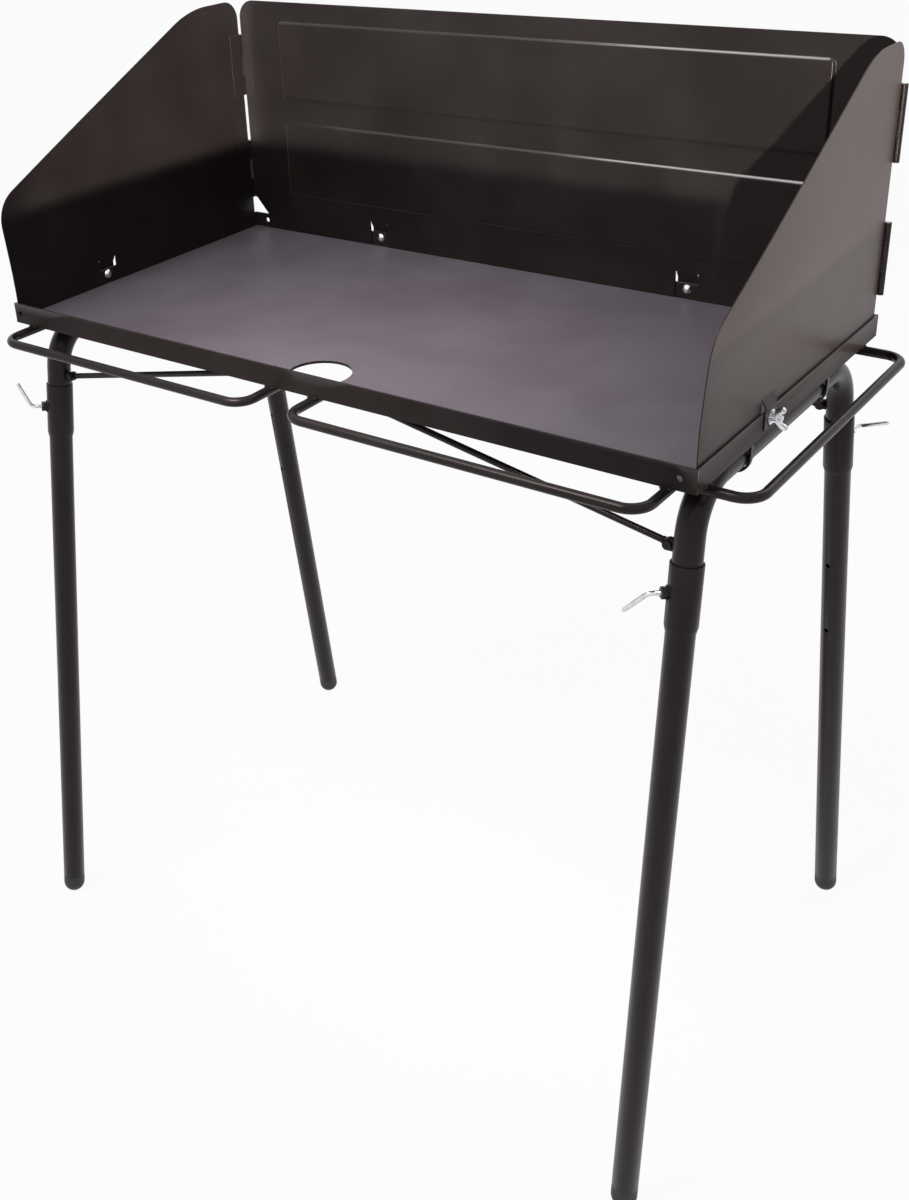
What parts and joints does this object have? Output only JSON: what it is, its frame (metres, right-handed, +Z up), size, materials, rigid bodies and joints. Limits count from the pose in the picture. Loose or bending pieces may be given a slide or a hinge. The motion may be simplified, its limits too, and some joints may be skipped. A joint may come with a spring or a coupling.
{
  "type": "dutch oven cook table",
  "caption": "Folding steel cook table with a rimmed plate, a hinged windscreen on the back and sides, splayed tube legs on fold-away frames, and rod racks for tools.",
  "frame": {"origin": "middle of the outer box at floor level, under the feet", "axes": "+X along the tray to the end with the side rack, +Y to the back panel, +Z up"},
  "size_m": [0.8858, 0.5736, 1.0665],
  "materials": {
    "cook_plate": "satin heat-proof coat on sheet steel, slightly mottled",
    "black_coat": "satin black powder coat",
    "panel_coat": "satin black powder coat on thin sheet",
    "zinc": "bright zinc plating",
    "foot_rubber": "moulded, matt"
  },
  "bodies": {
    "tray": {"plate": "cook_plate", "rail_front": "black_coat", "rail_rear": "black_coat", "rail_left": "black_coat", "rail_right": "black_coat", "rack_front_left": "black_coat", "rack_front_right": "black_coat", "rack_side": "black_coat", "saddles_left": "black_coat", "saddles_right": "black_coat", "guides_left": "black_coat", "guides_right": "black_coat", "tab_bolts": "zinc", "tab_washers": "zinc"},
    "left_frame": {"frame_left": "black_coat", "stay_rivets_left": "black_coat"},
    "right_frame": {"frame_right": "black_coat", "stay_rivets_right": "black_coat"},
    "left_stay": {"stay_left": "black_coat"},
    "right_stay": {"stay_right": "black_coat"},
    "leg_fl": {"leg_fl": "black_coat", "leg_nut_fl": "black_coat", "foot_fl": "foot_rubber"},
    "screw_fl": {"screw_fl": "zinc"},
    "leg_fr": {"leg_fr": "black_coat", "leg_nut_fr": "black_coat", "foot_fr": "foot_rubber"},
    "screw_fr": {"screw_fr": "zinc"},
    "leg_rl": {"leg_rl": "black_coat", "leg_nut_rl": "black_coat", "foot_rl": "foot_rubber"},
    "screw_rl": {"screw_rl": "zinc"},
    "leg_rr": {"leg_rr": "black_coat", "leg_nut_rr": "black_coat", "foot_rr": "foot_rubber"},
    "screw_rr": {"screw_rr": "zinc"},
    "windscreen": {"panel_back": "panel_coat", "panel_left": "panel_coat", "panel_right": "panel_coat", "hinge_leaves_back": "panel_coat", "hinge_leaves_left": "panel_coat", "hinge_leaves_right": "panel_coat", "hinge_pins": "zinc"},
    "wingnut_left": {"wingnut_left": "zinc"},
    "wingnut_right": {"wingnut_right": "zinc"},
    "wingnut_back_l": {"wingnut_back_l": "zinc"},
    "wingnut_back_r": {"wingnut_back_r": "zinc"}
  },
  "joints": [
    {"name": "left_frame_fold", "type": "hinge", "parent": "tray", "child": "left_frame", "pos_m": [-0.4076, 0, 0.76115], "axis": [0, -1, 0], "range_deg": [0, 83]},
    {"name": "right_frame_fold", "type": "hinge", "parent": "tray", "child": "right_frame", "pos_m": [0.3774, 0, 0.76115], "axis": [0, 1, 0], "range_deg": [0, 75]},
    {"name": "left_stay_pivot", "type": "hinge", "parent": "left_frame", "child": "left_stay", "pos_m": [-0.38967, 0, 0.70723], "axis": [0, -1, 0], "range_deg": [-97.2, 0]},
    {"name": "right_stay_pivot", "type": "hinge", "parent": "right_frame", "child": "right_stay", "pos_m": [0.35947, 0, 0.70723], "axis": [0, 1, 0], "range_deg": [-85.9, 0]},
    {"name": "leg_fl_slide", "type": "slide", "parent": "left_frame", "child": "leg_fl", "axis": [-0.0225, -0.1418, -0.9896], "range_m": [0, 0.05]},
    {"name": "leg_fr_slide", "type": "slide", "parent": "right_frame", "child": "leg_fr", "axis": [0.0225, -0.1418, -0.9896], "range_m": [0, 0.05]},
    {"name": "leg_rl_slide", "type": "slide", "parent": "left_frame", "child": "leg_rl", "axis": [-0.0225, 0.1418, -0.9896], "range_m": [0, 0.05]},
    {"name": "leg_rr_slide", "type": "slide", "parent": "right_frame", "child": "leg_rr", "axis": [0.0225, 0.1418, -0.9896], "range_m": [0, 0.05]},
    {"name": "screw_fl_turn", "type": "hinge", "parent": "leg_fl", "child": "screw_fl", "pos_m": [-0.40969, -0.17918, 0.66911], "axis": [-0.613, -0.7801, 0.1257], "range_deg": [0, 360]},
    {"name": "screw_fr_turn", "type": "hinge", "parent": "leg_fr", "child": "screw_fr", "pos_m": [0.37949, -0.17918, 0.66911], "axis": [-0.7092, -0.7, 0.0842], "range_deg": [0, 360]},
    {"name": "screw_rl_turn", "type": "hinge", "parent": "leg_rl", "child": "screw_rl", "pos_m": [-0.40969, 0.17918, 0.66911], "axis": [0.312, 0.9415, 0.1278], "range_deg": [0, 360]},
    {"name": "screw_rr_turn", "type": "hinge", "parent": "leg_rr", "child": "screw_rr", "pos_m": [0.37949, 0.17918, 0.66911], "axis": [0.2218, 0.9645, 0.1432], "range_deg": [0, 360]},
    {"name": "windscreen_lift", "type": "slide", "parent": "tray", "child": "windscreen", "axis": [0, 0, 1], "range_m": [0, 0.3]},
    {"name": "wingnut_left_turn", "type": "hinge", "parent": "tray", "child": "wingnut_left", "pos_m": [-0.4271, -0.0645, 0.793], "axis": [-1, 0, 0], "range_deg": [0, 360]},
    {"name": "wingnut_right_turn", "type": "hinge", "parent": "tray", "child": "wingnut_right", "pos_m": [0.3969, -0.0645, 0.793], "axis": [1, 0, 0], "range_deg": [0, 360]},
    {"name": "wingnut_back_l_turn", "type": "hinge", "parent": "tray", "child": "wingnut_back_l", "pos_m": [-0.2211, 0.2055, 0.793], "axis": [0, 1, 0], "range_deg": [0, 360]},
    {"name": "wingnut_back_r_turn", "type": "hinge", "parent": "tray", "child": "wingnut_back_r", "pos_m": [0.1909, 0.2055, 0.793], "axis": [0, 1, 0], "range_deg": [0, 360]}
  ],
  "couplings": [
    {"joint": "left_stay_pivot", "follows": "left_frame_fold", "ratio": -1.1589},
    {"joint": "right_stay_pivot", "follows": "right_frame_fold", "ratio": -1.1314}
  ]
}
